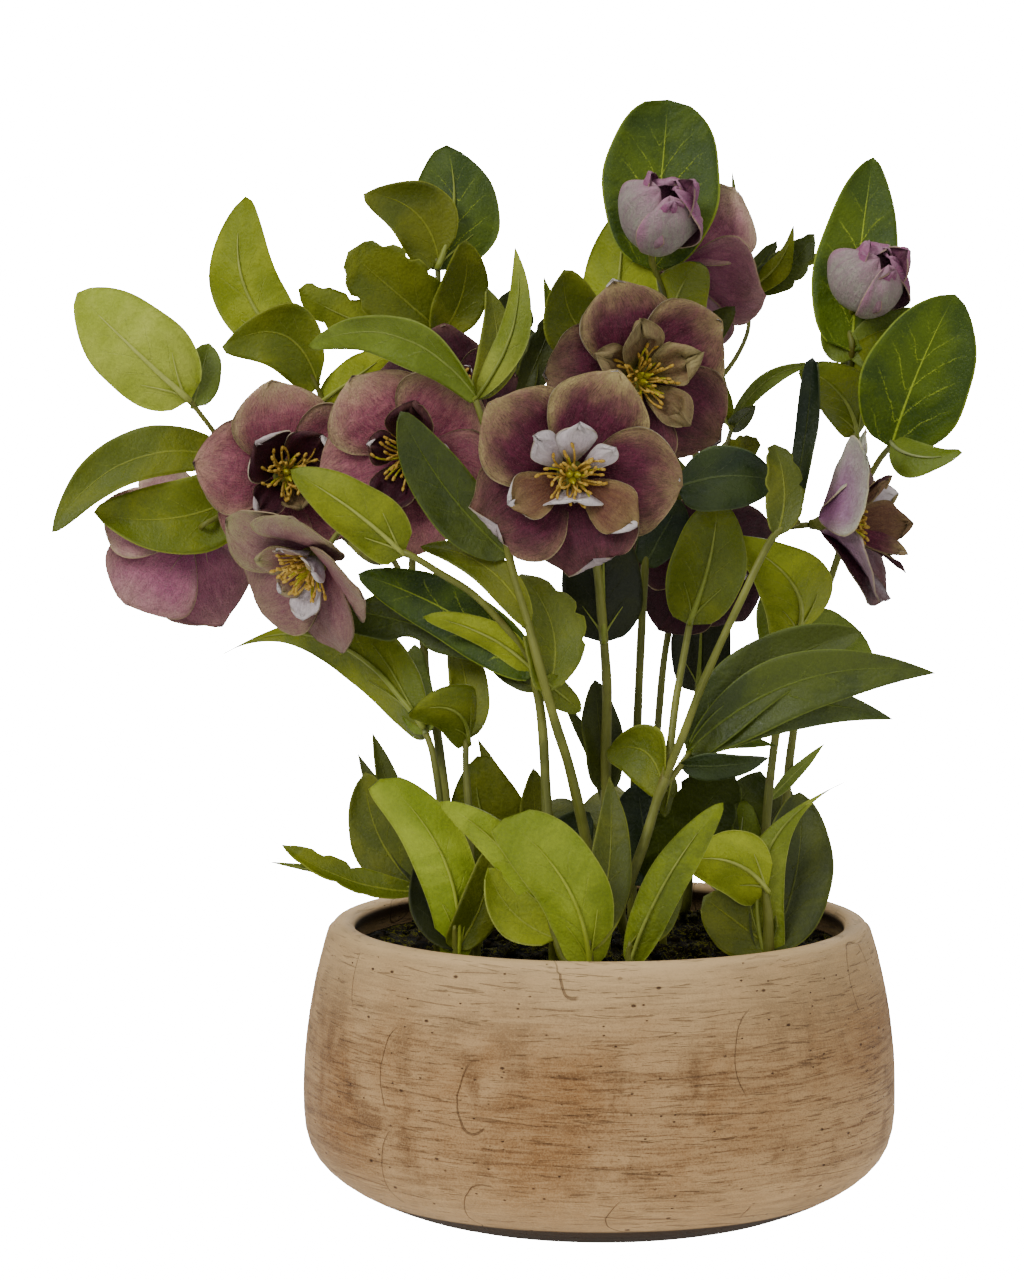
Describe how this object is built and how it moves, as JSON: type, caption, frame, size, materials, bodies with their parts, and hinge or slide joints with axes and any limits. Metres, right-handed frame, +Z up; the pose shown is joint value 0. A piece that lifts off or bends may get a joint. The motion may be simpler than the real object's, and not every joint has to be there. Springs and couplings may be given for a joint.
{
  "type": "potted hellebore plant",
  "caption": "Hellebore in bloom with cupped purple flowers, closed buds and leafy stems, growing in soil in a low round bowl.",
  "frame": {"origin": "middle of the pot's flat foot, on the surface that it stands on", "axes": "+Z up, -Y towards the plant's front, +X to the right seen from the front"},
  "size_m": [0.3781, 0.243, 0.4513],
  "materials": {
    "bloom_centre_back_sepals": "satin, veined",
    "bloom_centre_back_stamens": "matte",
    "bloom_front_sepals": "satin, veined",
    "bloom_front_stamens": "matte",
    "bloom_left_back_sepals": "satin, veined",
    "bloom_left_back_stamens": "matte",
    "bloom_left_dark_sepals": "satin, veined",
    "bloom_left_dark_stamens": "matte",
    "bloom_left_middle_sepals": "satin, veined",
    "bloom_left_middle_stamens": "matte",
    "bloom_left_sepals": "satin, veined",
    "bloom_left_stamens": "matte",
    "bloom_nodding_sepals": "satin, veined",
    "bloom_nodding_stamens": "matte",
    "bloom_right_sepals": "satin, veined",
    "bloom_right_stamens": "matte",
    "bloom_top_sepals": "satin, veined",
    "bloom_top_stamens": "matte",
    "bloom_upper_sepals": "satin, veined",
    "bloom_upper_stamens": "matte",
    "bud_right": "satin",
    "bud_top": "satin",
    "leaves_back": "satin",
    "leaves_front": "satin",
    "leaves_left": "satin",
    "leaves_left_front": "satin",
    "leaves_middle": "satin",
    "leaves_middle_front": "satin",
    "leaves_middle_left": "satin",
    "leaves_right_back": "satin",
    "leaves_right_front": "satin",
    "pot": "unglazed, brushed",
    "shoot_back": "satin",
    "shoot_centre_back": "satin",
    "shoot_front": "satin",
    "shoot_left_branch": "satin",
    "shoot_left_folded": "satin",
    "shoot_left_front": "satin",
    "shoot_left_short": "satin",
    "shoot_left_tall": "satin",
    "shoot_right": "satin",
    "shoot_right_left_stem": "satin",
    "shoot_right_tall": "satin",
    "shoot_upper": "satin",
    "soil": "rough, crumbly"
  },
  "bodies": {
    "root": {"bloom_centre_back_sepals": "bloom_centre_back_sepals", "bloom_centre_back_stamens": "bloom_centre_back_stamens", "bloom_front_sepals": "bloom_front_sepals", "bloom_front_stamens": "bloom_front_stamens", "bloom_left_back_sepals": "bloom_left_back_sepals", "bloom_left_back_stamens": "bloom_left_back_stamens", "bloom_left_dark_sepals": "bloom_left_dark_sepals", "bloom_left_dark_stamens": "bloom_left_dark_stamens", "bloom_left_middle_sepals": "bloom_left_middle_sepals", "bloom_left_middle_stamens": "bloom_left_middle_stamens", "bloom_left_sepals": "bloom_left_sepals", "bloom_left_stamens": "bloom_left_stamens", "bloom_nodding_sepals": "bloom_nodding_sepals", "bloom_nodding_stamens": "bloom_nodding_stamens", "bloom_right_sepals": "bloom_right_sepals", "bloom_right_stamens": "bloom_right_stamens", "bloom_top_sepals": "bloom_top_sepals", "bloom_top_stamens": "bloom_top_stamens", "bloom_upper_sepals": "bloom_upper_sepals", "bloom_upper_stamens": "bloom_upper_stamens", "bud_right": "bud_right", "bud_top": "bud_top", "leaves_back": "leaves_back", "leaves_front": "leaves_front", "leaves_left": "leaves_left", "leaves_left_front": "leaves_left_front", "leaves_middle": "leaves_middle", "leaves_middle_front": "leaves_middle_front", "leaves_middle_left": "leaves_middle_left", "leaves_right_back": "leaves_right_back", "leaves_right_front": "leaves_right_front", "pot": "pot", "shoot_back": "shoot_back", "shoot_centre_back": "shoot_centre_back", "shoot_front": "shoot_front", "shoot_left_branch": "shoot_left_branch", "shoot_left_folded": "shoot_left_folded", "shoot_left_front": "shoot_left_front", "shoot_left_short": "shoot_left_short", "shoot_left_tall": "shoot_left_tall", "shoot_right": "shoot_right", "shoot_right_left_stem": "shoot_right_left_stem", "shoot_right_tall": "shoot_right_tall", "shoot_upper": "shoot_upper", "soil": "soil"}
  },
  "joints": []
}
